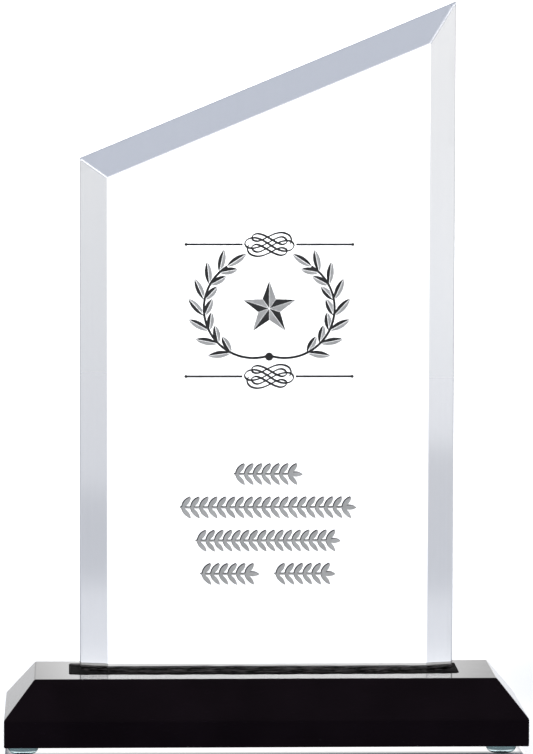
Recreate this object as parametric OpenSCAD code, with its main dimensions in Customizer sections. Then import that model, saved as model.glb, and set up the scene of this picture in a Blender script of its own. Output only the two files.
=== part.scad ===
// Slant-top crystal award: a clear bevelled panel bedded upright in a black
// chamfered base that stands on four clear bumper feet. Millimetres, +Z up.
// The origin is on the surface the award stands on, under the middle of the
// base. -Y is the front, where the panel is bevelled and engraved.

/* [Base] */
// Length of the base, left to right
base_l = 152.4; // [130:0.1:180]
// Depth of the base, front to back
base_d = 53; // [46:0.5:70]
// Thickness of the base block, without its feet
base_t = 18.8; // [16:0.1:26]
// How far the chamfer comes in over the top face, on all four sides
chamfer_in = 8.8; // [4:0.1:12]
// How far down the sides the chamfer reaches
chamfer_down = 10.75; // [4:0.05:13]

/* [Slot] */
// Length of the slot that holds the panel
slot_l = 114.5; // [112.5:0.1:116]
// Width of the slot
slot_w = 19.4; // [18.5:0.1:21]
// Depth of the slot below the top face
slot_depth = 10.3; // [8:0.1:12]
// Radius that the cutter left in the slot's corners
slot_corner_r = 1.5; // [0.5:0.1:3]
// Sideways offset of the slot from the middle of the base
slot_x = -0.1; // [-0.4:0.1:0.4]
// Offset of the slot towards the back of the base
slot_y = 2.3; // [0:0.1:4]
// Thickness of the foam tape in front of the panel
liner_front_t = 1; // [0.5:0.1:1.5]
// Thickness of the sealant under the panel
bed_t = 1; // [0.5:0.1:2]

/* [Panel] */
// Width of the panel
panel_w = 110; // [108:0.5:110]
// Thickness of the panel
panel_t = 16; // [13:0.1:16.5]
// Sideways offset of the panel from the middle of the base
panel_x = 0.8; // [0:0.1:0.9]
// Height of the panel's left side above the base
left_h = 150.8; // [148:0.1:170]
// Height of the panel's right side, at the apex, above the base
right_h = 196.7; // [185:0.1:220]
// Width of the front bevels
bevel_w = 8; // [5:0.1:10]
// Depth of the front bevels at the panel's edge
bevel_depth = 7; // [3:0.1:9]

/* [Feet] */
// Diameter of a bumper foot
foot_d = 8.8; // [7:0.1:11]
// Height of a bumper foot, with its adhesive disc
foot_h = 2.5; // [2:0.1:4]
// Diameter of the flat that a foot stands on
foot_flat_d = 4.4; // [3:0.1:6]
// Thickness of the adhesive disc
foot_adhesive_t = 0.15; // [0.1:0.05:0.3]

/* [Engraving] */
// Depth of the engraving in the front of the panel
engrave_depth = 0.4; // [0.3:0.05:0.6]
// How far the paint in the engraving stands proud of the panel
paint_proud = 0.03; // [0.02:0.01:0.05]
// Middle of the engraving, left to right
art_x = 1.1; // [-2:0.1:4]
// Height of the upper rule above the base
rule_upper_h = 126; // [120:0.1:130]
// Height of the lower rule above the base
rule_lower_h = 87.4; // [80:0.1:92]
// Thickness of the rules
rule_t = 0.6; // [0.4:0.05:1]
// Overall width of the wreath
wreath_w = 46; // [40:0.5:50]
// Overall height of the wreath
wreath_h = 31; // [27:0.5:32]
// Height of the first garland above the base
garland_h = 58.6; // [56:0.1:62]
// Distance from one garland to the next
garland_pitch = 9.8; // [9:0.1:11]
// Length of a garland leaf
garland_leaf_l = 4.1; // [3:0.1:4.5]

/* [Hidden] */
$fn = 64;

// How far a cutter stands clear of the face that it starts from
cut_clear = 1;
// How far the bevel cutter runs past both edges of the bevel, as a share of it
bevel_over = 0.25;

// Colours
black_crystal = [0.06, 0.055, 0.06];
clear_crystal = [0.93, 0.96, 0.98, 0.35];
black_foam = [0.13, 0.12, 0.13];
black_sealant = [0.08, 0.08, 0.08];
clear_rubber = [0.62, 0.72, 0.75, 0.6];
milky_adhesive = [0.85, 0.87, 0.88];
charcoal = [0.16, 0.16, 0.17];
silver_grey = [0.62, 0.62, 0.64];

// Levels of the base and the slot
base_top = foot_h + base_t;
base_shoulder = base_top - chamfer_down;
slot_floor = base_top - slot_depth;
panel_bottom = slot_floor + bed_t;

// Faces and edges of the panel
panel_front = slot_y - slot_w / 2 + liner_front_t;
panel_back = panel_front + panel_t;
panel_left = panel_x - panel_w / 2;
panel_right = panel_x + panel_w / 2;
left_top = base_top + left_h;
right_top = base_top + right_h;
top_slope = atan2(right_top - left_top, panel_w);
flat_left = panel_left + bevel_w;
flat_right = panel_right - bevel_w;

// Centres of the feet, which are stuck on by hand and so not quite symmetric
foot_front_left_at = [-70.7, -20.5];
foot_front_right_at = [68.5, -20.8];
foot_rear_left_at = [-70.2, 20.4];
foot_rear_right_at = [69.3, 20.7];
feet_at = [foot_front_left_at, foot_front_right_at, foot_rear_left_at, foot_rear_right_at];
// Share of a foot's height that is dome, and the steps in its profile
foot_dome = 0.7;
foot_dome_steps = 8;
// How much smaller the adhesive disc is than the foot
foot_adhesive_less = 0.6;

// Each rule runs from its inner to its outer end, with a bead on the outer end
rule_inner = 7.8;
rule_outer = 24.3;
rule_bead_r = 0.45;

// Scroll: one strand that loops round itself. These are the knots of one half of it, from
// its hooked end to the middle; the other half is the same, turned by 180 degrees.
scroll_half = [
    [5.95, 0.1], [6.45, 1.2], [5.8, 2.65], [4.1, 3.4], [2.2, 3.3], [0.2, 2.55],
    [-1.8, 1.5], [-3.5, 0.95], [-4.95, 1.45], [-4.85, 2.6], [-3.45, 3.15], [-1.55, 2.65],
    [0.45, 1.55], [2.3, 0.5], [3.9, 0], [5.1, 0.7], [4.55, 1.85], [3.2, 2.2],
    [1.35, 1.45], [-0.65, 0.35], [-2.65, -0.6], [-4.8, -1.1], [-6.5, -0.8], [-7.15, 0.4],
    [-6.2, 1.6], [-4.2, 1.95], [-2.2, 1.35], [-0.9, 0.6]
];
scroll_knots = concat(
    scroll_half,
    [[0, 0]],
    [for (i = [1:len(scroll_half)]) -scroll_half[len(scroll_half) - i]]
);
scroll_spans = len(scroll_knots) - 1;
scroll_stroke_spans = 4;
scroll_span_steps = 4;
scroll_thin = 0.34;
scroll_thick = 0.64;
scroll_nib = -32;

// Hairline of bare glass between two facets of a groove, and where the light comes from
hairline = 0.12;
light_from = 135;

// Wreath: two branches, each on an arc, with pairs of leaves and a bead where they cross
wreath_lift = 0.6;
wreath_above = (rule_upper_h + rule_lower_h) / 2 + wreath_lift;
wreath_leaf_l = 7;
wreath_leaf_w = 2.1;
wreath_inner_leaf = 0.8;
wreath_leaf_lean = 34;
wreath_pairs = 7;
wreath_stem_from = -112;
wreath_leaves_from = -63.6;
wreath_arc_to = 58;
wreath_step = 18.3;
wreath_reach = wreath_leaf_l * sin(wreath_leaf_lean);
wreath_tip_room = 1;
wreath_r = wreath_h / 2 - wreath_tip_room;
wreath_shift = wreath_w / 2 - wreath_r - wreath_reach;
wreath_stem_t = 0.7;
wreath_bead_r = 1.2;
wreath_bead_lift = 0.4;
// Its leaves, each as [angle on the arc, lean off the stem, length]
wreath_leaves = concat(
    [for (i = [0:wreath_pairs - 1], side = [-1, 1]) [
        wreath_leaves_from + wreath_step * i,
        side * wreath_leaf_lean,
        wreath_leaf_l * (side > 0 ? wreath_inner_leaf : 1)
    ]],
    [[wreath_arc_to - 1, 0, wreath_leaf_l]]
);

// Star: ten facets, dark and light by turns
star_r = 8;
star_notch_r = 3.3;

// Garlands: [middle, length] of each stretch of leaves, line by line
garland_lines = [
    [[0, 20]],
    [[0, 51.6]],
    [[0, 42.4]],
    [[-11.2, 17.2], [10.8, 17.8]]
];
garland_leaf_w = 1.35;
garland_leaf_lean = 50;
garland_step = 2.5;
garland_stem_t = 0.45;
// Bare stem before the first leaves, and how far short of the tip the stem ends
garland_lead = 0.4;
garland_tail = 2;

// ---------------------------------------------------------------- base

// Block whose upper edges are chamfered on all four sides
module chamfered_block() {
    intersection() {
        rotate([90, 0, 0])
            translate([0, 0, -base_d / 2])
                linear_extrude(base_d)
                    chamfered_section(base_l);
        rotate([90, 0, 90])
            translate([0, 0, -base_l / 2])
                linear_extrude(base_l)
                    chamfered_section(base_d);
    }
}

// Section of the block, width across, standing at its real height
module chamfered_section(width) {
    polygon([
        [-width / 2, foot_h],
        [width / 2, foot_h],
        [width / 2, base_shoulder],
        [width / 2 - chamfer_in, base_top],
        [-width / 2 + chamfer_in, base_top],
        [-width / 2, base_shoulder]
    ]);
}

// Rectangle with round corners, as the cutter leaves it
module slot_outline() {
    square([slot_l - 2 * slot_corner_r, slot_w], center = true);
    square([slot_l, slot_w - 2 * slot_corner_r], center = true);
    for (sx = [-1, 1], sy = [-1, 1])
        translate([sx * (slot_l / 2 - slot_corner_r), sy * (slot_w / 2 - slot_corner_r)])
            circle(slot_corner_r);
}

// What fills the slot between two levels
module slot_plug(from_z, to_z) {
    translate([slot_x, slot_y, from_z])
        linear_extrude(to_z - from_z)
            slot_outline();
}

module base_block() {
    color(black_crystal)
        difference() {
            chamfered_block();
            slot_plug(slot_floor, base_top + cut_clear);
        }
}

// ---------------------------------------------------------------- panel

// Outline of the panel, seen from the front
module panel_outline() {
    polygon([
        [panel_left, panel_bottom],
        [panel_right, panel_bottom],
        [panel_right, right_top],
        [panel_left, left_top]
    ]);
}

// Stands a flat shape up in the panel's plane, from y = front to y = back
module stand_up(front, back) {
    translate([0, back, 0])
        rotate([90, 0, 0])
            linear_extrude(back - front)
                children();
}

// Long wedge that cuts one bevel: +X points out of the edge, +Y into the panel
module bevel_cutter() {
    length = 2 * (panel_w + right_top);
    translate([0, panel_front, -length / 2])
        linear_extrude(length)
            polygon([
                [-bevel_w * (1 + bevel_over), -bevel_depth * bevel_over],
                [bevel_w * bevel_over, -bevel_depth * bevel_over],
                [bevel_w * bevel_over, bevel_depth * (1 + bevel_over)]
            ]);
}

module panel_blank() {
    difference() {
        stand_up(panel_front, panel_back)
            panel_outline();
        translate([panel_left, 0, 0])
            rotate([0, 180, 0])
                bevel_cutter();
        translate([panel_right, 0, 0])
            bevel_cutter();
        translate([panel_right, 0, right_top])
            rotate([0, -90 - top_slope, 0])
                bevel_cutter();
    }
}

module crystal_panel() {
    color(clear_crystal)
        difference() {
            panel_blank();
            stand_up(panel_front - cut_clear, panel_front + engrave_depth)
                engraving_outline();
        }
}

// ---------------------------------------------------------------- slot lining

// Part of the slot's filling that is left around the panel, within a span of x
module lining(from_x, to_x, from_y, to_y) {
    difference() {
        intersection() {
            slot_plug(panel_bottom, base_top);
            translate([from_x, from_y, panel_bottom - cut_clear])
                cube([to_x - from_x, to_y - from_y, slot_depth + 2 * cut_clear]);
        }
        panel_blank();
    }
}

module adhesive_bed() {
    color(black_sealant)
        slot_plug(slot_floor, panel_bottom);
}

module liner_front() {
    color(black_foam)
        lining(flat_left, flat_right, -slot_w, panel_front);
}

module liner_rear() {
    color(black_foam)
        lining(-slot_l, slot_l, panel_back, slot_w);
}

module end_filler_left() {
    color(black_sealant)
        lining(-slot_l, flat_left, -slot_w, panel_back);
}

module end_filler_right() {
    color(black_sealant)
        lining(flat_right, slot_l, -slot_w, panel_back);
}

// ---------------------------------------------------------------- feet

// Domed bumper: a short cylinder on top of a dome with a flat to stand on
module bumper(at) {
    rim_h = foot_h - foot_adhesive_t;
    dome_h = rim_h * foot_dome;
    dome_run = (foot_d - foot_flat_d) / 2;
    color(clear_rubber)
        translate(at)
            rotate_extrude()
                polygon(concat(
                    [[0, rim_h], [0, 0]],
                    [for (i = [0:foot_dome_steps])
                        let (t = i / foot_dome_steps)
                        [foot_flat_d / 2 + dome_run * sin(90 * t), dome_h * (1 - cos(90 * t))]],
                    [[foot_d / 2, rim_h]]
                ));
}

module foot_front_left() {
    bumper(foot_front_left_at);
}

module foot_front_right() {
    bumper(foot_front_right_at);
}

module foot_rear_left() {
    bumper(foot_rear_left_at);
}

module foot_rear_right() {
    bumper(foot_rear_right_at);
}

module foot_adhesive() {
    color(milky_adhesive)
        for (at = feet_at)
            translate([at[0], at[1], foot_h - foot_adhesive_t])
                cylinder(d = foot_d - foot_adhesive_less, h = foot_adhesive_t);
}

// ---------------------------------------------------------------- engraving

// Pointed leaf from the origin along +X: what two equal circles have in common
module leaf(length, width) {
    r = (length * length / 4 + width * width / 4) / width;
    intersection() {
        translate([length / 2, r - width / 2])
            circle(r);
        translate([length / 2, width / 2 - r])
            circle(r);
    }
}

// The two rules on each side of a scroll
module rules_outline(height) {
    for (side = [-1, 1])
        translate([art_x, base_top + height]) {
            translate([side * (rule_inner + rule_outer) / 2, 0])
                square([rule_outer - rule_inner, rule_t], center = true);
            translate([side * rule_outer, 0])
                circle(rule_bead_r);
        }
}

// Knot of the scroll's strand; past an end, the end itself
function scroll_knot(i) = scroll_knots[max(0, min(scroll_spans, i))];

// Point of the strand at u, counted in spans from its start, and the direction it runs in
function scroll_point(u) =
    let (
        i = min(scroll_spans - 1, floor(u)),
        t = u - i,
        a = scroll_knot(i - 1),
        b = scroll_knot(i),
        c = scroll_knot(i + 1),
        d = scroll_knot(i + 2)
    )
    (2 * b + (c - a) * t + (2 * a - 5 * b + 4 * c - d) * t * t + (3 * b - a - 3 * c + d) * t * t * t) / 2;
function scroll_heading(u) =
    let (
        step = 1 / (2 * scroll_span_steps),
        ahead = scroll_point(min(scroll_spans, u + step)),
        behind = scroll_point(max(0, u - step))
    )
    atan2(ahead[1] - behind[1], ahead[0] - behind[0]);

// Width that a broad nib leaves on a stroke that runs in one direction
function nib_width(heading) =
    scroll_thin + (scroll_thick - scroll_thin) * pow(cos(heading - scroll_nib), 2);

// Point on one side of the strand at u: 1 for its left, -1 for its right
function scroll_edge(u, side) =
    let (heading = scroll_heading(u))
    scroll_point(u) + side * nib_width(heading) / 2 * [-sin(heading), cos(heading)];

// A few spans of the strand, drawn in one stroke
module scroll_stroke(from_u) {
    last = scroll_stroke_spans * scroll_span_steps;
    at = [for (i = [0:last]) from_u + i / scroll_span_steps];
    polygon(concat(
        [for (u = at) scroll_edge(u, 1)],
        [for (i = [0:last]) scroll_edge(at[last - i], -1)]
    ));
}

module scroll_outline(height) {
    translate([art_x, base_top + height])
        for (from_u = [0:scroll_stroke_spans:scroll_spans - 1])
            scroll_stroke(from_u);
}

// Facet of a leaf on one side of its vein: 1 for the left as the leaf points, -1 for the right
module leaf_facet(length, width, side) {
    r = (length * length / 4 + width * width / 4) / width;
    intersection() {
        translate([length / 2, side * (width / 2 - r)])
            circle(r);
        translate([0, side > 0 ? hairline / 2 : -width - hairline / 2])
            square([length, width]);
    }
}

// Stem of the branch on the right, up to an angle on its arc
module wreath_stem(thickness, to) {
    translate([wreath_shift, 0])
        intersection() {
            difference() {
                circle(wreath_r + thickness / 2);
                circle(wreath_r - thickness / 2);
            }
            polygon([
                [0, 0],
                3 * wreath_r * [cos(wreath_stem_from), sin(wreath_stem_from)],
                3 * wreath_r * [1, -1],
                [3 * wreath_r, 0],
                3 * wreath_r * [cos(to), sin(to)]
            ]);
        }
}

// Facets of the right branch's leaves: 0 for the dark ones, 1 for the light ones. Flipped says
// that the branch will be mirrored, and so will the sides that the light falls on.
module wreath_facets(tone, flipped) {
    translate([wreath_shift, 0])
        for (leaf = wreath_leaves, side = [-1, 1]) {
            axis = leaf[0] + 90 + leaf[1];
            facing = flipped ? 180 - axis - 90 * side : axis + 90 * side;
            dark = cos(facing - light_from) > 0;
            if (dark == (tone == 0))
                rotate(leaf[0])
                    translate([wreath_r, 0])
                        rotate(axis - leaf[0])
                            leaf_facet(leaf[2], wreath_leaf_w, side);
        }
}

module wreath_dark_outline() {
    for (flip = [0, 1])
        mirror([flip, 0]) {
            wreath_stem(wreath_stem_t, wreath_arc_to);
            wreath_facets(0, flip == 1);
        }
    translate([0, -wreath_r + wreath_bead_lift])
        circle(wreath_bead_r);
}

// The light facets stop a hairline short of the stem
module wreath_light_outline() {
    for (flip = [0, 1])
        mirror([flip, 0])
            difference() {
                wreath_facets(1, flip == 1);
                wreath_stem(wreath_stem_t + 2 * hairline, wreath_arc_to + 1);
            }
}

module wreath_outline(tone) {
    translate([art_x, base_top + wreath_above]) {
        if (tone == 0) wreath_dark_outline();
        if (tone == 1) wreath_light_outline();
    }
}

// Facets on one side of the star's points: 0 for the dark ones, 1 for the light ones
module star_outline(tone) {
    turn = tone == 0 ? 36 : -36;
    translate([art_x, base_top + wreath_above])
        for (i = [0:4])
            rotate(90 + 72 * i)
                translate(hairline * [cos(turn / 2), sin(turn / 2)])
                    polygon([
                        [0, 0],
                        [star_r, 0],
                        star_notch_r * [cos(turn), sin(turn)]
                    ]);
}

// One stretch of garland, leaves in pairs along a stem, pointing right
module garland_stretch(middle, length) {
    run = garland_leaf_l * cos(garland_leaf_lean);
    pairs = floor((length - run - garland_tail) / garland_step);
    step = (length - run - garland_tail) / pairs;
    translate([middle - length / 2, 0]) {
        translate([0, -garland_stem_t / 2])
            square([length - garland_tail, garland_stem_t]);
        translate([length - garland_leaf_l, 0])
            leaf(garland_leaf_l, garland_leaf_w);
        for (i = [0:pairs], side = [-1, 1])
            translate([garland_lead + i * step, 0])
                rotate(side * garland_leaf_lean)
                    leaf(garland_leaf_l, garland_leaf_w);
    }
}

module garland_outline(line) {
    translate([art_x, base_top + garland_h - line * garland_pitch])
        for (stretch = garland_lines[line])
            garland_stretch(stretch[0], stretch[1]);
}

// Everything that is cut into the front of the panel
module engraving_outline() {
    rules_outline(rule_upper_h);
    rules_outline(rule_lower_h);
    scroll_outline(rule_upper_h);
    scroll_outline(rule_lower_h);
    for (tone = [0, 1]) {
        wreath_outline(tone);
        star_outline(tone);
    }
    for (line = [0:len(garland_lines) - 1])
        garland_outline(line);
}

// Paint that fills one outline of the engraving
module paint(tone) {
    color(tone)
        stand_up(panel_front - paint_proud, panel_front + engrave_depth)
            children();
}

module rules_upper() {
    paint(charcoal)
        rules_outline(rule_upper_h);
}

module rules_lower() {
    paint(charcoal)
        rules_outline(rule_lower_h);
}

module scroll_upper() {
    paint(charcoal)
        scroll_outline(rule_upper_h);
}

module scroll_lower() {
    paint(charcoal)
        scroll_outline(rule_lower_h);
}

module wreath_dark() {
    paint(charcoal)
        wreath_outline(0);
}

module wreath_light() {
    paint(silver_grey)
        wreath_outline(1);
}

module star_dark() {
    paint(charcoal)
        star_outline(0);
}

module star_light() {
    paint(silver_grey)
        star_outline(1);
}

module garland(line) {
    paint(silver_grey)
        garland_outline(line);
}

module garland_1() {
    garland(0);
}

module garland_2() {
    garland(1);
}

module garland_3() {
    garland(2);
}

module garland_4() {
    garland(3);
}

// ---------------------------------------------------------------- assembly

base_block();
crystal_panel();
adhesive_bed();
liner_front();
liner_rear();
end_filler_left();
end_filler_right();
foot_front_left();
foot_front_right();
foot_rear_left();
foot_rear_right();
foot_adhesive();
rules_upper();
rules_lower();
scroll_upper();
scroll_lower();
wreath_dark();
wreath_light();
star_dark();
star_light();
garland_1();
garland_2();
garland_3();
garland_4();
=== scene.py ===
"""Slant-top crystal award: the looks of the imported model, its studio and its camera.

Lengths are in metres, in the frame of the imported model: +Z up, -Y towards the engraved front.
"""

import math

import bmesh
import bpy
from mathutils import Matrix, Vector, geometry, noise


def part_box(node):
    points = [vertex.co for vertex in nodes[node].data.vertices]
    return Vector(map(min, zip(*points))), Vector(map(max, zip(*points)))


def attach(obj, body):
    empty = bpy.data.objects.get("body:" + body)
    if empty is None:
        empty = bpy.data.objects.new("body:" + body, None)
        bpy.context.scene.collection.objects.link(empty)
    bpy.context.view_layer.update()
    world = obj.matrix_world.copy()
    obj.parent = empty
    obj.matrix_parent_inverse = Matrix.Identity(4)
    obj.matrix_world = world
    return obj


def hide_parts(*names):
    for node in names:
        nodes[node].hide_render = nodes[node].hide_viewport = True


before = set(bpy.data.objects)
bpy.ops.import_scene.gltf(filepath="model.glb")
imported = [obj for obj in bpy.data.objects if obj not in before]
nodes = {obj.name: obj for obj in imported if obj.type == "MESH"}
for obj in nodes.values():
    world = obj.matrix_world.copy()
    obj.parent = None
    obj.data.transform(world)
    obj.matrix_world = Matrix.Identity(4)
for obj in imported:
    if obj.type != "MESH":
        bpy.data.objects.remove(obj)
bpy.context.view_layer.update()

MM = 0.001
# Points closer than this count as one place
TINY = 0.01 * MM

# ---------------------------------------------------------------- sizes

# Camera: where it stands, which way it turns, and its lens for a 36 mm sensor on the long side
CAMERA_AT = (-56.2 * MM, -1415.4 * MM, 239.2 * MM)
CAMERA_YAW = math.radians(2.298)
CAMERA_PITCH = math.radians(5.294)
CAMERA_ROLL = math.radians(0.155)
CAMERA_LENS = 231.57
SENSOR = 36.0

# Panel: its front bevels, and the fine arris along every polished edge
BEVEL_WIDTH = 8 * MM
BEVEL_DEPTH = 7 * MM
PANEL_ARRIS = 0.3 * MM
MITRE_ARRIS = 0.45 * MM
RIM_ARRIS = 0.6 * MM

# Base: its chamfer, its arris, and the slot's corners
CHAMFER_IN = 8.8 * MM
CHAMFER_DOWN = 10.75 * MM
BASE_ARRIS = 0.35 * MM
SLOT_CORNER = 1.5 * MM
CORNER_STEPS = 6

# Slot lining: spacing of its surface points, how far every other row of them is shifted, its
# roughness, how far it stands up, how deep it goes and how far it reaches into the glass
LINING_CELL = 0.45 * MM
ROW_SHIFT = 0.25 * LINING_CELL
LINING_ROUGH = 0.16 * MM
LINING_CROWN = 0.16 * MM
LINING_SKIRT = 3 * MM
LINING_OVERLAP = 0.15 * MM

# How far the lining's smeared edge laps over the base, all round and in front, how much less it
# laps at the panel's left and right edges, and how thick the smear is
LINING_LAP = 0.05 * MM
LINING_LAP_FRONT = 1.1 * MM
LAP_TAPER_LEFT = 0.4 * MM
LAP_TAPER_RIGHT = 0.8 * MM
LAP_SKIRT = 0.1 * MM

# Waves of the lining: of its edge, long and short, and of its top, as ripples and as lumps.
# A share weighs a wave, and a layer is the place along Z where it is read from the noise, so that
# no two waves move together
EDGE_WAVE = 1.3 * MM
EDGE_WAVE_LAYER = 0.013
EDGE_JAG = 0.4 * MM
EDGE_JAG_LAYER = 0.029
EDGE_JAG_SHARE = 0.6
TOP_RIPPLE = 1.1 * MM
TOP_RIPPLE_LAYER = 0.0017
TOP_RIPPLE_SHARE = 0.6
TOP_LUMP = 2.6 * MM
TOP_LUMP_LAYER = 0.0051
TOP_LUMP_SHARE = 0.5

# Margin inside the slot within which the lining goes deep, and how close two of its points may lie
SLOT_MARGIN = 0.1 * MM
POINT_GAP = 1e-7

# Feet: the flat sole, the dome's share of the height, the lip at the top, and the facets
FOOT_FLAT = 4.4 * MM
FOOT_DOME_SHARE = 0.72
FOOT_LIP = 0.12 * MM
FOOT_SEGMENTS = 48
FOOT_STEPS = 14
# Heights between which a foot's tone turns from pale to a painted shade: the dark of the black base,
# painted in where it would show through the clear foot
FOOT_PAINTED_SHADE = (1.05 * MM, 1.35 * MM)

# Painted shadow of the garlands, a dark copy standing for the shade on the engraving's upper-left walls:
# where it shows past the silver, and its share of the depth
GARLAND_SHADOW_SHIFT = Vector((-0.26 * MM, 0.015 * MM, 0.24 * MM))
GARLAND_SHADOW_DEPTH = 0.7

# Floor: its half size, how far it lies below the soles, and its finish
FLOOR_HALF = 30.0
FLOOR_DROP = 0.02 * MM
FLOOR_IOR = 1.5
FLOOR_GLOSS = 0.04
FLOOR_SHEEN = 0.5
# Reflectances between which the floor turns from soft to glossy
FLOOR_GRAZING = (0.22, 0.34)
# Band of soft light in the floor under the base, the same for every view: its strength, how far
# behind the base's front edge it fades in and out, and how near the base's ends it fades out
UNDER_LIGHT = 1.0
UNDER_FRONT = (3 * MM, 8 * MM)
UNDER_REAR = (16 * MM, 20 * MM)
UNDER_ENDS = (0.5 * MM, 3 * MM)

panel_low, panel_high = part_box("crystal_panel")
base_low, base_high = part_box("base_block")
bed_low, bed_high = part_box("adhesive_bed")


# ---------------------------------------------------------------- helpers


def new_object(name, data):
    """A new object, linked to the scene."""
    piece = bpy.data.objects.new(name, data)
    bpy.context.scene.collection.objects.link(piece)
    return piece


def object_from_bmesh(name, bm):
    """Turns a bmesh into a linked object, with its normals outward."""
    bmesh.ops.recalc_face_normals(bm, faces=bm.faces)
    mesh = bpy.data.meshes.new(name)
    bm.to_mesh(mesh)
    bm.free()
    return new_object(name, mesh)


def apply_modifiers(piece):
    """Bakes the piece's modifiers into its mesh."""
    graph = bpy.context.evaluated_depsgraph_get()
    mesh = bpy.data.meshes.new_from_object(piece.evaluated_get(graph))
    piece.modifiers.clear()
    piece.data = mesh


def prism(bm, rings):
    """Closed solid through rings of points of equal length, capped at both ends."""
    loops = [[bm.verts.new(point) for point in ring] for ring in rings]
    count = len(rings[0])
    for lower, upper in zip(loops, loops[1:]):
        for i in range(count):
            j = (i + 1) % count
            bm.faces.new((lower[i], lower[j], upper[j], upper[i]))
    bm.faces.new(loops[0])
    bm.faces.new(loops[-1])


def soften(piece, width, segments=2, by_weight=False):
    """Rounds every sharp edge a little, as polishing leaves it; by_weight reads each edge's share."""
    bevel = piece.modifiers.new("arris", "BEVEL")
    bevel.width = width
    bevel.segments = segments
    bevel.limit_method = "WEIGHT" if by_weight else "ANGLE"
    apply_modifiers(piece)


def dress(piece, material):
    """Gives a piece one material."""
    piece.data.materials.clear()
    piece.data.materials.append(material)


# ---------------------------------------------------------------- materials


class Shader:
    """A small helper round a material's node tree."""

    def __init__(self, name):
        self.material = bpy.data.materials.new(name)
        self.material.use_nodes = True
        self.tree = self.material.node_tree
        self.bsdf = self.tree.nodes["Principled BSDF"]
        self.coordinates = self.tree.nodes.new("ShaderNodeTexCoord").outputs["Object"]

    def set(self, **values):
        """Sets inputs of the surface, named with underscores for spaces."""
        for name, value in values.items():
            self.bsdf.inputs[name.replace("_", " ")].default_value = value
        return self

    def link(self, output, socket):
        """Joins an output to an input."""
        self.tree.links.new(output, socket)

    def stretched(self, x, y, z):
        """Object coordinates scaled along each axis."""
        mapping = self.tree.nodes.new("ShaderNodeMapping")
        mapping.inputs["Scale"].default_value = (x, y, z)
        self.link(self.coordinates, mapping.inputs["Vector"])
        return mapping.outputs["Vector"]

    def noise(self, scale, detail=3.0, roughness=0.5, vector=None):
        """Noise in the piece's own space; scale is in features per metre."""
        texture = self.tree.nodes.new("ShaderNodeTexNoise")
        texture.inputs["Scale"].default_value = scale
        texture.inputs["Detail"].default_value = detail
        texture.inputs["Roughness"].default_value = roughness
        self.link(vector or self.coordinates, texture.inputs["Vector"])
        return texture.outputs["Fac"]

    def ramp(self, value, stops):
        """A colour ramp: stops are (position, colour)."""
        ramp = self.tree.nodes.new("ShaderNodeValToRGB")
        elements = ramp.color_ramp.elements
        while len(elements) < len(stops):
            elements.new(0.5)
        for element, (position, colour) in zip(elements, stops):
            element.position = position
            element.color = (*colour, 1.0)
        self.link(value, ramp.inputs["Fac"])
        return ramp.outputs["Color"]

    def spread(self, value, low, high, from_low=0.3, from_high=0.7):
        """Maps a value from one range to another, and holds it at the ends."""
        node = self.tree.nodes.new("ShaderNodeMapRange")
        node.inputs["From Min"].default_value = from_low
        node.inputs["From Max"].default_value = from_high
        node.inputs["To Min"].default_value = low
        node.inputs["To Max"].default_value = high
        self.link(value, node.inputs["Value"])
        return node.outputs["Result"]

    def bump(self, height, strength, distance):
        """Fine relief, from a height between 0 and 1."""
        node = self.tree.nodes.new("ShaderNodeBump")
        node.inputs["Strength"].default_value = strength
        node.inputs["Distance"].default_value = distance
        self.link(height, node.inputs["Height"])
        self.link(node.outputs["Normal"], self.bsdf.inputs["Normal"])


def clear_crystal():
    """Water-clear glass: faint streaks painted into its tint for light bent unevenly by the waviness of
    a hand-polished face, and a trace of handling.
    """
    shader = Shader("clear crystal")
    shader.set(IOR=1.5, Transmission_Weight=1.0)
    # Painted light: faint vertical streaks in the tint, standing for light bent unevenly through a wavy
    # face
    streaks = shader.noise(1100.0, detail=2.0, vector=shader.stretched(1.0, 1.0, 0.01))
    shader.link(
        shader.ramp(streaks, [(0.3, (0.972, 0.976, 0.986)), (0.6, (0.996, 0.998, 1.0))]),
        shader.bsdf.inputs["Base Color"],
    )
    haze = shader.noise(140.0, detail=4.0)
    shader.link(shader.spread(haze, 0.0, 0.012, 0.45, 0.75), shader.bsdf.inputs["Roughness"])
    return shader.material


def black_crystal():
    """Polished black: deep colour with a breath of violet, fine polishing marks in its gloss.

    Its index is far below real glass's, so that its faces mirror less of the studio.
    """
    shader = Shader("black crystal")
    shader.set(IOR=1.1)
    depth = shader.noise(60.0, detail=2.0)
    shader.link(
        shader.ramp(depth, [(0.3, (0.0036, 0.0020, 0.0035)), (0.7, (0.0058, 0.0034, 0.0056))]),
        shader.bsdf.inputs["Base Color"],
    )
    marks = shader.noise(500.0, detail=3.0, vector=shader.stretched(0.2, 1.0, 1.0))
    shader.link(shader.spread(marks, 0.02, 0.07), shader.bsdf.inputs["Roughness"])
    return shader.material


def black_lining(name, dark, light):
    """Foam tape and wiped sealant: matt black, streaked along the slot, with a low index."""
    shader = Shader(name)
    shader.set(IOR=1.06)
    streaks = shader.noise(1500.0, detail=5.0, roughness=0.7, vector=shader.stretched(0.1, 1.0, 1.0))
    stops = [
        (0.42, (dark, 0.9 * dark, 0.95 * dark)),
        (0.62, (light, 0.93 * light, 0.95 * light)),
    ]
    shader.link(shader.ramp(streaks, stops), shader.bsdf.inputs["Base Color"])
    grain = shader.noise(2600.0, detail=5.0, roughness=0.7)
    shader.link(shader.spread(grain, 0.6, 0.9), shader.bsdf.inputs["Roughness"])
    shader.bump(grain, 0.5, 0.15 * MM)
    return shader.material


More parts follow.
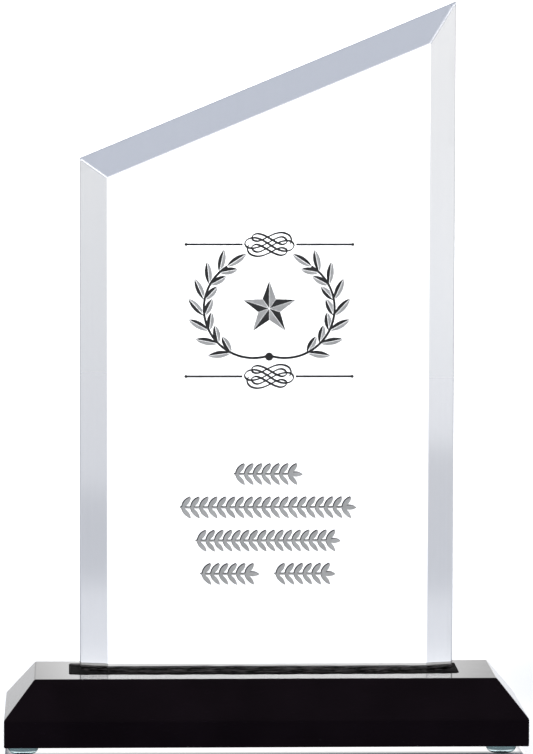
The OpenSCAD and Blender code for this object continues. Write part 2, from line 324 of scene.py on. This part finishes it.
def clear_rubber():
    """Clear polyurethane bumper with a blue-green cast, with painted shade towards the base: the black
    base as it would show through.

    Its index is far below real polyurethane's, so that the tone decides the look, not refraction.
    """
    shader = Shader("clear rubber")
    shader.set(IOR=1.04, Transmission_Weight=0.9)
    axes = shader.tree.nodes.new("ShaderNodeSeparateXYZ")
    shader.link(shader.coordinates, axes.inputs["Vector"])
    # Painted shade: the foot is darker towards the top, where the black base would show through it
    height = shader.spread(axes.outputs["Z"], 0.0, 1.0, *FOOT_PAINTED_SHADE)
    shader.link(
        shader.ramp(height, [(0.0, (0.70, 0.82, 0.83)), (1.0, (0.03, 0.055, 0.065))]),
        shader.bsdf.inputs["Base Color"],
    )
    cast = shader.noise(350.0, detail=2.0)
    shader.link(shader.spread(cast, 0.05, 0.14), shader.bsdf.inputs["Roughness"])
    return shader.material


def adhesive():
    """Pressure-sensitive adhesive: milky, slightly rough."""
    shader = Shader("foot adhesive")
    shader.set(IOR=1.45, Transmission_Weight=0.5)
    cloud = shader.noise(800.0)
    shader.link(
        shader.ramp(cloud, [(0.3, (0.62, 0.70, 0.72)), (0.7, (0.74, 0.80, 0.82))]),
        shader.bsdf.inputs["Base Color"],
    )
    shader.link(shader.spread(cloud, 0.3, 0.5), shader.bsdf.inputs["Roughness"])
    return shader.material


def paint(name, dark, light, gloss_low, gloss_high):
    """Paint wiped into sandblasted glass: grainy, slightly uneven in tone."""
    shader = Shader(name)
    shader.set(IOR=1.45)
    tone = shader.noise(420.0, detail=4.0, roughness=0.6)
    shader.link(shader.ramp(tone, [(0.3, dark), (0.7, light)]), shader.bsdf.inputs["Base Color"])
    grain = shader.noise(5200.0, detail=3.0)
    shader.link(shader.spread(grain, gloss_low, gloss_high), shader.bsdf.inputs["Roughness"])
    shader.bump(grain, 0.35, 0.03 * MM)
    return shader.material


# ---------------------------------------------------------------- panel


def make_panel():
    """The bevelled panel as one polished solid, every edge with a fine arris."""
    left, right = panel_low.x, panel_high.x
    front, back = panel_low.y, panel_high.y
    rim = front + BEVEL_DEPTH
    bottom = panel_low.z
    corners = nodes["crystal_panel"].data.vertices
    left_top = max(v.co.z for v in corners if v.co.x < left + TINY)
    right_top = panel_high.z
    slope = (right_top - left_top) / (right - left)
    drop = BEVEL_WIDTH * math.hypot(1, slope)
    inner_left = left_top + slope * BEVEL_WIDTH - drop
    inner_right = right_top - slope * BEVEL_WIDTH - drop
    outline = [(left, bottom), (right, bottom), (right, right_top), (left, left_top)]
    inset = [
        (left + BEVEL_WIDTH, bottom),
        (right - BEVEL_WIDTH, bottom),
        (right - BEVEL_WIDTH, inner_right),
        (left + BEVEL_WIDTH, inner_left),
    ]
    bm = bmesh.new()
    front_ring = [(x, front, z) for x, z in inset]
    rim_ring = [(x, rim, z) for x, z in outline]
    back_ring = [(x, back, z) for x, z in outline]
    prism(bm, [front_ring, rim_ring, back_ring])
    bmesh.ops.dissolve_degenerate(bm, dist=TINY / 10, edges=bm.edges)
    panel = object_from_bmesh("panel", bm)
    weights = panel.data.attributes.new("bevel_weight_edge", "FLOAT", "EDGE")
    for edge in panel.data.edges:
        ends = [panel.data.vertices[i].co for i in edge.vertices]
        on_rim = all(abs(end.y - rim) < TINY for end in ends)
        on_front = all(abs(end.y - front) < TINY for end in ends)
        on_back = all(abs(end.y - back) < TINY for end in ends)
        arris = PANEL_ARRIS
        if on_rim:
            arris = RIM_ARRIS
        elif not on_front and not on_back:
            arris = MITRE_ARRIS if min(end.y for end in ends) < rim - TINY else PANEL_ARRIS
        weights.data[edge.index].value = arris / RIM_ARRIS
    soften(panel, RIM_ARRIS, segments=3, by_weight=True)
    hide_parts("crystal_panel")
    return panel


# ---------------------------------------------------------------- base


def slot_corners(margin):
    """Arcs of the slot's corners, let out by a margin: front right, then anticlockwise."""
    low_x, high_x = bed_low.x - margin, bed_high.x + margin
    low_y, high_y = bed_low.y - margin, bed_high.y + margin
    centres = [
        (high_x - SLOT_CORNER, low_y + SLOT_CORNER),
        (high_x - SLOT_CORNER, high_y - SLOT_CORNER),
        (low_x + SLOT_CORNER, high_y - SLOT_CORNER),
        (low_x + SLOT_CORNER, low_y + SLOT_CORNER),
    ]
    arcs = []
    for turn, (cx, cy) in enumerate(centres):
        arc = []
        for i in range(CORNER_STEPS + 1):
            angle = math.radians(90 * (turn - 1 + i / CORNER_STEPS))
            arc.append((cx + SLOT_CORNER * math.cos(angle), cy + SLOT_CORNER * math.sin(angle)))
        arcs.append(arc)
    return arcs


def make_base():
    """The chamfered block, with softened edges and the slot cut through its top."""

    def rectangle(inset, z):
        """The base's outline at a level, drawn in by an inset."""
        return [
            (base_low.x + inset, base_low.y + inset, z),
            (base_high.x - inset, base_low.y + inset, z),
            (base_high.x - inset, base_high.y - inset, z),
            (base_low.x + inset, base_high.y - inset, z),
        ]

    bm = bmesh.new()
    prism(
        bm,
        [
            rectangle(0, base_low.z),
            rectangle(0, base_high.z - CHAMFER_DOWN),
            rectangle(CHAMFER_IN, base_high.z),
        ],
    )
    base = object_from_bmesh("base", bm)
    soften(base, BASE_ARRIS, segments=3)
    cutter_bm = bmesh.new()
    ring = [point for arc in slot_corners(0) for point in arc]
    levels = (bed_low.z, base_high.z + 1 * MM)
    prism(cutter_bm, [[(x, y, z) for x, y in ring] for z in levels])
    cutter = object_from_bmesh("slot cutter", cutter_bm)
    cut = base.modifiers.new("slot", "BOOLEAN")
    cut.object = cutter
    cut.solver = "EXACT"
    apply_modifiers(base)
    bpy.data.objects.remove(cutter)
    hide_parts("base_block")
    return base


# ---------------------------------------------------------------- slot lining


def ragged(points, step, amount):
    """Closed outline resampled at a step, each point pushed a little in or out."""
    out = []
    for i, start in enumerate(points):
        end = points[(i + 1) % len(points)]
        run = Vector((end[0] - start[0], end[1] - start[1]))
        pieces = max(1, round(run.length / step))
        across = Vector((run.y, -run.x)).normalized()
        for k in range(pieces):
            point = Vector(start) + run * (k / pieces)
            wave = noise.noise(Vector((point.x, point.y, EDGE_WAVE_LAYER)) / EDGE_WAVE)
            jag = noise.noise(Vector((point.x, point.y, EDGE_JAG_LAYER)) / EDGE_JAG)
            out.append(point + across * amount * (wave + EDGE_JAG_SHARE * jag))
    return out


def panel_section(margin):
    """Section of the panel's foot, drawn in by a margin: left rim round the front to right rim."""
    left, right = panel_low.x + margin, panel_high.x - margin
    front, back = panel_low.y + margin, panel_high.y - margin
    flat = BEVEL_WIDTH
    rim = panel_low.y + BEVEL_DEPTH
    return {
        "back_left": (left, back),
        "rim_left": (left, rim),
        "front_left": (left + flat, front),
        "front_right": (right - flat, front),
        "rim_right": (right, rim),
        "back_right": (right, back),
    }


def make_lining(name, node, outline):
    """One stretch of the slot's filling: a closed slab with a rough top round the panel."""
    edge = ragged(outline, LINING_CELL, LINING_LAP / 2)
    xs = [p[0] for p in edge]
    ys = [p[1] for p in edge]
    points = [Vector((p[0], p[1])) for p in edge]
    loop = [(i, (i + 1) % len(edge)) for i in range(len(edge))]
    columns = int((max(xs) - min(xs)) / LINING_CELL)
    rows = int((max(ys) - min(ys)) / LINING_CELL)
    for i in range(1, columns):
        for j in range(1, rows):
            shift = ROW_SHIFT * (-1) ** j
            points.append(Vector((min(xs) + i * LINING_CELL + shift, min(ys) + j * LINING_CELL)))
    flat_points, _, faces, *_ = geometry.delaunay_2d_cdt(points, loop, [], 1, POINT_GAP)

    def height(x, y):
        """Level of the top, with ripples and lumps that are drawn out along the slot."""
        ripple = noise.noise(Vector((x / 4, y * 2, TOP_RIPPLE_LAYER)) / TOP_RIPPLE)
        lump = noise.noise(Vector((x / 3, y, TOP_LUMP_LAYER)) / TOP_LUMP)
        waves = TOP_RIPPLE_SHARE * ripple + TOP_LUMP_SHARE * lump
        return base_high.z + LINING_CROWN + LINING_ROUGH * waves

    def in_slot(x, y):
        """Whether a point is clear of the slot's walls."""
        along = bed_low.x + SLOT_MARGIN < x < bed_high.x - SLOT_MARGIN
        return along and bed_low.y + SLOT_MARGIN < y < bed_high.y - SLOT_MARGIN

    bm = bmesh.new()
    upper = []
    lower = []
    for x, y in flat_points:
        upper.append(bm.verts.new((x, y, height(x, y))))
        depth = LINING_SKIRT if in_slot(x, y) else LAP_SKIRT
        lower.append(bm.verts.new((x, y, base_high.z - depth)))
    sides = {}
    for face in faces:
        bm.faces.new([upper[i] for i in face])
        bm.faces.new([lower[i] for i in reversed(face)])
        for i, start in enumerate(face):
            end = face[(i + 1) % len(face)]
            key = (min(start, end), max(start, end))
            sides[key] = None if key in sides else (start, end)
    for side in sides.values():
        if side:
            start, end = side
            bm.faces.new([upper[end], upper[start], lower[start], lower[end]])
    loose = [v for v in bm.verts if not v.link_faces]
    bmesh.ops.delete(bm, geom=loose, context="VERTS")
    piece = object_from_bmesh(name, bm)
    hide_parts(node)
    return piece


def lining_outlines():
    """Outlines of the four stretches of filling round the panel."""
    foot = panel_section(LINING_OVERLAP)
    left, right = bed_low.x - LINING_LAP, bed_high.x + LINING_LAP
    lap_front = bed_low.y - LINING_LAP_FRONT
    front_right, back_right, back_left, front_left = slot_corners(LINING_LAP)
    middle_left, middle_right = foot["front_left"][0], foot["front_right"][0]
    split = foot["back_left"][1]
    return {
        "liner_front": [
            (middle_left, lap_front),
            (middle_right, lap_front),
            foot["front_right"],
            foot["front_left"],
        ],
        "liner_rear": [
            (left, split),
            (right, split),
            *back_right,
            *back_left,
        ],
        "end_filler_left": [
            *front_left,
            (panel_low.x, lap_front + LAP_TAPER_LEFT),
            (middle_left, lap_front),
            foot["front_left"],
            foot["rim_left"],
            foot["back_left"],
            (left, split),
        ],
        "end_filler_right": [
            (right, split),
            foot["back_right"],
            foot["rim_right"],
            foot["front_right"],
            (middle_right, lap_front),
            (panel_high.x, lap_front + LAP_TAPER_RIGHT),
            *front_right,
        ],
    }


# ---------------------------------------------------------------- feet


def make_foot(node):
    """Domed bumper, turned from a smooth profile."""
    low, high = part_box(node)
    centre = (low + high) / 2
    radius = (high.x - low.x) / 2
    dome = FOOT_DOME_SHARE * (high.z - low.z)
    flat = FOOT_FLAT / 2
    profile = [(0.0, low.z), (flat / 2, low.z), (flat, low.z)]
    for i in range(1, FOOT_STEPS + 1):
        angle = math.pi / 2 * i / FOOT_STEPS
        profile.append((flat + (radius - flat) * math.sin(angle), low.z + dome * (1 - math.cos(angle))))
    profile += [(radius, high.z - FOOT_LIP), (radius - FOOT_LIP, high.z), (0.0, high.z)]
    bm = bmesh.new()
    poles = (bm.verts.new((centre.x, centre.y, low.z)), bm.verts.new((centre.x, centre.y, high.z)))
    rings = []
    for r, z in profile[1:-1]:
        ring = []
        for k in range(FOOT_SEGMENTS):
            turn = 2 * math.pi * k / FOOT_SEGMENTS
            ring.append(bm.verts.new((centre.x + r * math.cos(turn), centre.y + r * math.sin(turn), z)))
        rings.append(ring)
    for k in range(FOOT_SEGMENTS):
        m = (k + 1) % FOOT_SEGMENTS
        bm.faces.new((poles[0], rings[0][k], rings[0][m]))
        for lower, upper in zip(rings, rings[1:]):
            bm.faces.new((lower[k], lower[m], upper[m], upper[k]))
        bm.faces.new((poles[1], rings[-1][m], rings[-1][k]))
    foot = object_from_bmesh(node.replace("foot", "bumper"), bm)
    for polygon in foot.data.polygons:
        polygon.use_smooth = True
    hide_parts(node)
    return foot


# ---------------------------------------------------------------- engraving


def make_garland_shadow(node):
    """Painted shadow of an engraved garland: a dark copy of the same shape, shallower, and a little to
    the upper left, where the engraving's walls would be in shade.
    """
    mesh = nodes[node].data.copy()
    front = min(v.co.y for v in mesh.vertices)
    for vertex in mesh.vertices:
        vertex.co.y = front + GARLAND_SHADOW_DEPTH * (vertex.co.y - front)
    mesh.transform(Matrix.Translation(GARLAND_SHADOW_SHIFT))
    shade = new_object(node + "_painted_edge_shadow", mesh)
    return shade


# ---------------------------------------------------------------- studio


# How often light may be turned back inside the glass
GLASS_BOUNCES = 24

# Level of the plain studio walls, and the bright backdrop: azimuth from +Y towards +X, in degrees
STUDIO_LEVEL = 0.85
BACKDROP_CENTRE = 1.6
BACKDROP_SPREAD = 7.5
BACKDROP_HEIGHT = 37
BACKDROP_EXTRA = 1.9

# Widest fade at the sides of a panel of light or dark, in degrees
SIDE_FADE = 3.0

# Panels of light or dark on the walls, in degrees and in brightness:
# (azimuth, half width, lowest elevation, highest elevation, softness, brightness added)
WALL_PANELS = [
    (2.3, 2.45, 8.3, 9.6, 0.4, 0.6),
    (6.6, 2.2, 8.5, 9.15, 0.2, -0.5),
    (-2.3, 2.1, 8.5, 9.15, 0.2, -0.45),
    (-9, 1.3, 0.5, 4.5, 1.0, 0.35),
    (8.9, 1.4, 0.5, 4.5, 1.0, 0.6),
    (23, 8, 6.65, 7.75, 0.3, -0.24),
    (23, 8, 7.75, 8.7, 0.2, 0.17),
    (23, 9, 8.76, 20, 0.2, 2.1),
    (-18.5, 8, -2, 6.1, 0.3, 0.18),
    (-18.5, 8, -2, 3, 3.0, -0.13),
    (-18.5, 8, 6.1, 7.85, 0.2, -0.16),
    (-18.5, 8, 7.85, 8.7, 0.2, 0.19),
    (-18.5, 8, 8.76, 20, 0.2, 2.6),
    (46, 10, -2, 30, 3, -0.65),
    (-46, 10, -2, 30, 3, -0.35),
    (-113, 9, 21, 39, 4, 4.0),
    (146, 9, 28, 46, 4, 4.0),
]


def make_world():
    """Soft studio: a bright backdrop behind the award, and panels of light and dark on plain walls."""
    world = bpy.data.worlds.new("studio")
    bpy.context.scene.world = world
    world.use_nodes = True
    tree = world.node_tree
    background = tree.nodes["Background"]

    def calculate(operation, *values):
        """One sum on numbers or on other nodes' outputs."""
        node = tree.nodes.new("ShaderNodeMath")
        node.operation = operation
        for socket, value in zip(node.inputs, values):
            if isinstance(value, (int, float)):
                socket.default_value = value
            else:
                tree.links.new(value, socket)
        return node.outputs["Value"]

    def window(value, centre, half, softness):
        """1 within half of the centre, 0 beyond it, with a soft edge."""
        node = tree.nodes.new("ShaderNodeMapRange")
        node.interpolation_type = "SMOOTHSTEP"
        tree.links.new(calculate("ABSOLUTE", calculate("SUBTRACT", value, centre)), node.inputs["Value"])
        node.inputs["From Min"].default_value = half + softness / 2
        node.inputs["From Max"].default_value = half - softness / 2
        return node.outputs["Result"]

    direction = tree.nodes.new("ShaderNodeTexCoord").outputs["Generated"]
    axes = tree.nodes.new("ShaderNodeSeparateXYZ")
    tree.links.new(direction, axes.inputs["Vector"])
    azimuth = calculate("DEGREES", calculate("ARCTAN2", axes.outputs["X"], axes.outputs["Y"]))
    elevation = calculate("DEGREES", calculate("ARCSINE", axes.outputs["Z"]))

    off_centre = calculate("DIVIDE", calculate("SUBTRACT", azimuth, BACKDROP_CENTRE), BACKDROP_SPREAD)
    squared = calculate("MULTIPLY", off_centre, off_centre)
    lobe = calculate("POWER", math.e, calculate("MULTIPLY", squared, -1.0))
    fade = window(elevation, 0.0, BACKDROP_HEIGHT / 2, BACKDROP_HEIGHT)
    level = calculate("MULTIPLY", calculate("MULTIPLY", lobe, fade), BACKDROP_EXTRA)
    level = calculate("ADD", level, STUDIO_LEVEL)
    for centre, half, low, high, softness, extra in WALL_PANELS:
        across = window(azimuth, centre, half, min(SIDE_FADE, half / 2))
        upward = window(elevation, (low + high) / 2, (high - low) / 2, softness)
        panel_light = calculate("MULTIPLY", calculate("MULTIPLY", across, upward), extra)
        level = calculate("ADD", level, panel_light)
    tree.links.new(level, background.inputs["Strength"])
    background.inputs["Color"].default_value = (1.0, 1.0, 1.0, 1.0)


def floor_finish(name):
    """Pale blue-grey finish, which is soft from above and glossy at a grazing angle."""
    shader = Shader(name)
    shader.set(IOR=FLOOR_IOR)
    tone = shader.noise(0.8, detail=1.0)
    shader.link(
        shader.ramp(tone, [(0.3, (0.44, 0.48, 0.58)), (0.7, (0.46, 0.50, 0.60))]),
        shader.bsdf.inputs["Base Color"],
    )
    sheen = shader.tree.nodes.new("ShaderNodeFresnel")
    sheen.inputs["IOR"].default_value = FLOOR_IOR
    shader.link(
        shader.spread(sheen.outputs["Fac"], FLOOR_SHEEN, FLOOR_GLOSS, *FLOOR_GRAZING),
        shader.bsdf.inputs["Roughness"],
    )
    return shader


def lit_floor_finish():
    """The floor's finish with the band of soft light that keeps the clear feet visible."""
    shader = floor_finish("floor under the base")
    axes = shader.tree.nodes.new("ShaderNodeSeparateXYZ")
    shader.link(shader.coordinates, axes.inputs["Vector"])
    along, across = axes.outputs["X"], axes.outputs["Y"]

    def product(first, second):
        """Two values multiplied."""
        node = shader.tree.nodes.new("ShaderNodeMath")
        node.operation = "MULTIPLY"
        shader.link(first, node.inputs[0])
        shader.link(second, node.inputs[1])
        return node.outputs["Value"]

    front = shader.spread(across, 0.0, UNDER_LIGHT, *(base_low.y + depth for depth in UNDER_FRONT))
    rear = shader.spread(across, 1.0, 0.0, *(base_low.y + depth for depth in UNDER_REAR))
    left = shader.spread(along, 0.0, 1.0, *(base_low.x + depth for depth in UNDER_ENDS))
    right = shader.spread(along, 1.0, 0.0, *(base_high.x - depth for depth in reversed(UNDER_ENDS)))
    light = product(product(front, rear), product(left, right))
    shader.link(light, shader.bsdf.inputs["Emission Strength"])
    shader.set(Emission_Color=(1.0, 1.0, 1.0, 1.0))
    return shader


def make_floor():
    """Floor round the base, and under it, where a soft light keeps the clear feet visible."""
    bm = bmesh.new()

    def corners(low_x, low_y, high_x, high_y):
        """Corner points of a rectangle, at the floor's level."""
        spots = [(low_x, low_y), (high_x, low_y), (high_x, high_y), (low_x, high_y)]
        return [bm.verts.new((x, y, -FLOOR_DROP)) for x, y in spots]

    inside = corners(base_low.x, base_low.y, base_high.x, base_high.y)
    outside = corners(-FLOOR_HALF, -FLOOR_HALF, FLOOR_HALF, FLOOR_HALF)
    for i in range(4):
        k = (i + 1) % 4
        bm.faces.new((outside[i], outside[k], inside[k], inside[i]))
    bm.faces.new(inside)
    floor = object_from_bmesh("floor", bm)
    dress(floor, floor_finish("pale floor").material)
    floor.data.materials.append(lit_floor_finish().material)
    floor.data.polygons[-1].material_index = 1


def make_camera():
    """The camera, in front of the award and a little above it."""
    data = bpy.data.cameras.new("camera")
    data.lens = CAMERA_LENS
    data.sensor_width = SENSOR
    data.clip_end = 100.0
    camera = new_object("camera", data)
    turn = (
        Matrix.Rotation(-CAMERA_YAW, 4, "Z")
        @ Matrix.Rotation(math.pi / 2 - CAMERA_PITCH, 4, "X")
        @ Matrix.Rotation(CAMERA_ROLL, 4, "Z")
    )
    camera.matrix_world = Matrix.Translation(CAMERA_AT) @ turn
    bpy.context.scene.camera = camera


# ---------------------------------------------------------------- assembly

glass = clear_crystal()
black = black_crystal()
foam = black_lining("black foam", 0.004, 0.16)
sealant = black_lining("black sealant", 0.002, 0.016)
rubber = clear_rubber()
charcoal = paint("charcoal paint", (0.012, 0.012, 0.0125), (0.034, 0.034, 0.035), 0.5, 0.75)
silver = paint("silver paint", (0.45, 0.45, 0.445), (0.58, 0.58, 0.575), 0.4, 0.6)

panel = make_panel()
dress(panel, glass)
base = make_base()
dress(base, black)

pieces = [panel, base]
LININGS = {
    "liner_front": ("foam_front", "black_foam", sealant),
    "liner_rear": ("foam_rear", "black_foam", foam),
    "end_filler_left": ("sealant_left", "black_sealant", sealant),
    "end_filler_right": ("sealant_right", "black_sealant", sealant),
}
for node, outline in lining_outlines().items():
    name, slot_name, material = LININGS[node]
    lining = make_lining(name, node, outline)
    dress(lining, material)
    pieces.append(lining)

for node in ("foot_front_left", "foot_front_right", "foot_rear_left", "foot_rear_right"):
    foot = make_foot(node)
    dress(foot, rubber)
    pieces.append(foot)

dress(nodes["adhesive_bed"], sealant)
dress(nodes["foot_adhesive"], adhesive())

# Rules and scrolls are charcoal paint; the dark halves of the wreath's leaves and of the star are
# painted shade, the facets of a V-cut that face away from a light at the upper left
DARK_PAINT_AND_SHADED_NODES = ("rules_upper", "rules_lower", "scroll_upper", "scroll_lower", "wreath_dark", "star_dark")
# Garlands are silver paint; the light halves of the wreath's leaves and of the star are painted light,
# the facets of that V-cut that face the light
SILVER_PAINT_AND_LIT_NODES = ("wreath_light", "star_light", "garland_1", "garland_2", "garland_3", "garland_4")
for node in DARK_PAINT_AND_SHADED_NODES:
    dress(nodes[node], charcoal)
for node in SILVER_PAINT_AND_LIT_NODES:
    dress(nodes[node], silver)
# Painted shadow: a charcoal copy of each garland, showing at the upper left where the engraving's wall
# would be in shade
for node in ("garland_1", "garland_2", "garland_3", "garland_4"):
    shade = make_garland_shadow(node)
    dress(shade, charcoal)
    pieces.append(shade)

for piece in pieces:
    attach(piece, "root")

make_world()
make_floor()
make_camera()
scene = bpy.context.scene
# Light that is trapped in the glass and turned back many times still finds its way out
scene.cycles.max_bounces = GLASS_BOUNCES
scene.cycles.glossy_bounces = GLASS_BOUNCES
scene.cycles.transmission_bounces = GLASS_BOUNCES
scene.view_settings.view_transform = "Standard"
scene.view_settings.look = "None"
